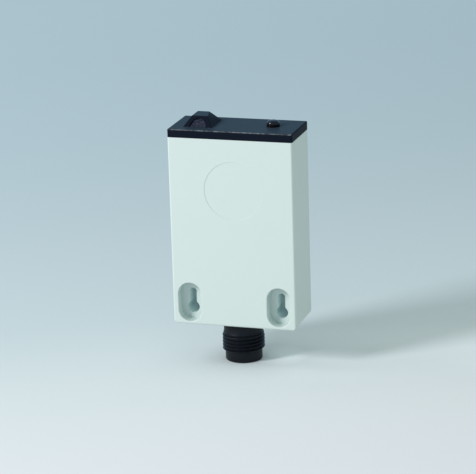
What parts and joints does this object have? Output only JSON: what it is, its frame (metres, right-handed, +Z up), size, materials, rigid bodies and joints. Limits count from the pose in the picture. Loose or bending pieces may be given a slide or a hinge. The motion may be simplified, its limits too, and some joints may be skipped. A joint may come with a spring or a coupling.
{
  "type": "temperature transmitter",
  "caption": "Flat moulded temperature transmitter with a hooded sensor and an indicator lens in its end cap, keyhole screw pockets and a round threaded plug connector.",
  "frame": {"origin": "middle of the connector nose's lower end, on the connector's axis, which is also the middle of the housing's width and depth", "axes": "+Z up from the connector to the end cap, the printed front faces -Y, +X to the right as seen from the front"},
  "size_m": [0.036, 0.016, 0.071],
  "materials": {
    "housing_plastic": "fine satin moulding, off-white",
    "cap_plastic": "satin moulding, blue-black",
    "seal_rubber": "matt",
    "potting_compound": "rough, mottled",
    "sensor_ceramic": "fired ceramic with a glazed film",
    "tinned_wire": "tinned",
    "lens_plastic": "clear dark red moulding",
    "lamp_epoxy": "tinted epoxy",
    "board_laminate": "green solder mask",
    "chip_epoxy": "moulded epoxy",
    "can_metal": "drawn can",
    "choke_ferrite": "sintered ferrite",
    "capacitor_ceramic": "fired ceramic",
    "connector_plastic": "glass-filled nylon, satin",
    "carrier_plastic": "satin moulding",
    "contact_gold": "gold-plated brass",
    "wire_insulation": "extruded sleeve",
    "resin": "cast epoxy"
  },
  "bodies": {
    "root": {"housing": "housing_plastic", "end_cap": "cap_plastic", "cap_seal": "seal_rubber", "sensor_potting": "potting_compound", "sensor_element": "sensor_ceramic", "sensor_leads": "tinned_wire", "indicator_lens": "lens_plastic", "status_lamp": "lamp_epoxy", "lamp_legs": "tinned_wire", "circuit_board": "board_laminate", "controller_chip": "chip_epoxy", "amplifier_chip": "chip_epoxy", "chip_legs": "tinned_wire", "crystal": "can_metal", "buffer_capacitor": "can_metal", "supply_choke": "choke_ferrite", "ceramic_capacitors": "capacitor_ceramic", "resistors": "chip_epoxy", "rectifier_diodes": "chip_epoxy", "bus_transistor": "chip_epoxy", "connector_shell": "connector_plastic", "contact_carrier": "carrier_plastic", "contact_pins": "contact_gold", "connector_o_ring": "seal_rubber", "connector_wires": "wire_insulation", "sealing_resin": "resin"}
  },
  "joints": []
}
